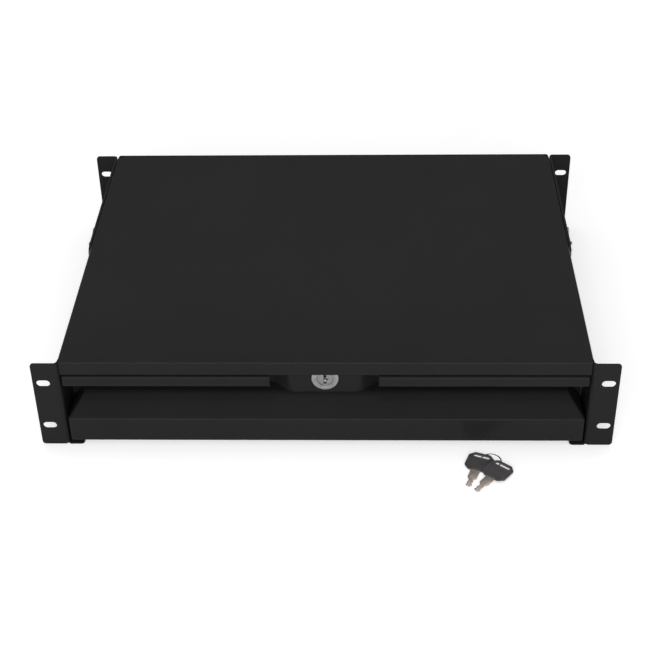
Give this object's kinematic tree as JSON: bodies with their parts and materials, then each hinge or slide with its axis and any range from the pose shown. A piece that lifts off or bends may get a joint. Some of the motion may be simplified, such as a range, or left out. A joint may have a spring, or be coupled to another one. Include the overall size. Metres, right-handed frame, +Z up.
{
  "type": "sliding rack drawer",
  "caption": "Lockable two-unit sliding drawer for a nineteen-inch rack: folded case with ears, full-extension ball slides, handle strips, cam lock and adjustable rear brackets.",
  "frame": {"origin": "centre of the four front mounting slots, in the plane of the ears' rear faces, which bear on the rack rails", "axes": "+X across the rack (right, seen from the front), +Y into the rack, +Z up"},
  "size_m": [0.4826, 0.4133, 0.0872],
  "materials": {
    "black_case": "fine textured satin black powder coat",
    "black_front": "fine textured satin black powder coat",
    "black_tray": "fine textured satin black powder coat",
    "black_bracket": "fine textured satin black powder coat",
    "zinc": "bright zinc plate",
    "ball_steel": "polished",
    "cage": "satin",
    "black_screw": "satin black zinc",
    "bumper_rubber": "matte",
    "lock_metal": "satin chrome",
    "key_plastic": "satin",
    "key_brass": "worn nickel on brass",
    "ring_steel": "polished"
  },
  "bodies": {
    "case": {"case_shell": "black_case", "rear_panel": "black_case", "rear_panel_screws": "black_screw", "rear_bumpers": "bumper_rubber", "lock_keeper": "zinc", "slide_outer_left": "zinc", "slide_outer_right": "zinc", "slide_outer_screws": "zinc", "bracket_bolts_left": "zinc", "bracket_bolts_right": "zinc", "bracket_nuts_left": "zinc", "bracket_nuts_right": "zinc"},
    "drawer": {"drawer_tray": "black_tray", "drawer_front": "black_front", "lock_panel": "black_front", "front_screws": "black_screw", "slide_inner_left": "zinc", "slide_inner_right": "zinc", "slide_inner_screws": "zinc", "lock_body": "lock_metal", "lock_nut": "lock_metal"},
    "plug": {"lock_plug": "lock_metal", "lock_cam": "zinc", "cam_screw": "zinc"},
    "keys": {"key_head_a": "key_plastic", "key_blade_a": "key_brass", "key_head_b": "key_plastic", "key_blade_b": "key_brass", "key_ring": "ring_steel"},
    "middle_slide_left": {"slide_middle_left": "zinc"},
    "outer_cage_left": {"outer_ball_cage_left": "cage", "outer_balls_left": "ball_steel"},
    "inner_cage_left": {"inner_ball_cage_left": "cage", "inner_balls_left": "ball_steel"},
    "rear_bracket_left": {"rear_bracket_left": "black_bracket"},
    "middle_slide_right": {"slide_middle_right": "zinc"},
    "outer_cage_right": {"outer_ball_cage_right": "cage", "outer_balls_right": "ball_steel"},
    "inner_cage_right": {"inner_ball_cage_right": "cage", "inner_balls_right": "ball_steel"},
    "rear_bracket_right": {"rear_bracket_right": "black_bracket"}
  },
  "joints": [
    {"name": "drawer_slide", "type": "slide", "parent": "case", "child": "drawer", "axis": [0, -1, 0], "range_m": [0, 0.29]},
    {"name": "lock_turn", "type": "hinge", "parent": "drawer", "child": "plug", "pos_m": [0, 0.03, 0.0141], "axis": [0, 1, 0], "range_deg": [0, 90]},
    {"name": "middle_slide_travel_left", "type": "slide", "parent": "case", "child": "middle_slide_left", "axis": [0, -1, 0], "range_m": [0, 0.145]},
    {"name": "outer_cage_travel_left", "type": "slide", "parent": "case", "child": "outer_cage_left", "axis": [0, -1, 0], "range_m": [0, 0.0725]},
    {"name": "inner_cage_travel_left", "type": "slide", "parent": "case", "child": "inner_cage_left", "axis": [0, -1, 0], "range_m": [0, 0.2175]},
    {"name": "rear_bracket_travel_left", "type": "slide", "parent": "case", "child": "rear_bracket_left", "axis": [0, 1, 0], "range_m": [-0.075, 0]},
    {"name": "middle_slide_travel_right", "type": "slide", "parent": "case", "child": "middle_slide_right", "axis": [0, -1, 0], "range_m": [0, 0.145]},
    {"name": "outer_cage_travel_right", "type": "slide", "parent": "case", "child": "outer_cage_right", "axis": [0, -1, 0], "range_m": [0, 0.0725]},
    {"name": "inner_cage_travel_right", "type": "slide", "parent": "case", "child": "inner_cage_right", "axis": [0, -1, 0], "range_m": [0, 0.2175]},
    {"name": "rear_bracket_travel_right", "type": "slide", "parent": "case", "child": "rear_bracket_right", "axis": [0, 1, 0], "range_m": [-0.075, 0]},
    {"name": "keys_away", "type": "slide", "parent": "case", "child": "keys", "axis": [0, -1, 0], "range_m": [0, 0.1]}
  ],
  "couplings": [
    {"joint": "middle_slide_travel_left", "follows": "drawer_slide", "ratio": 0.5},
    {"joint": "outer_cage_travel_left", "follows": "drawer_slide", "ratio": 0.25},
    {"joint": "inner_cage_travel_left", "follows": "drawer_slide", "ratio": 0.75},
    {"joint": "middle_slide_travel_right", "follows": "drawer_slide", "ratio": 0.5},
    {"joint": "outer_cage_travel_right", "follows": "drawer_slide", "ratio": 0.25},
    {"joint": "inner_cage_travel_right", "follows": "drawer_slide", "ratio": 0.75}
  ]
}
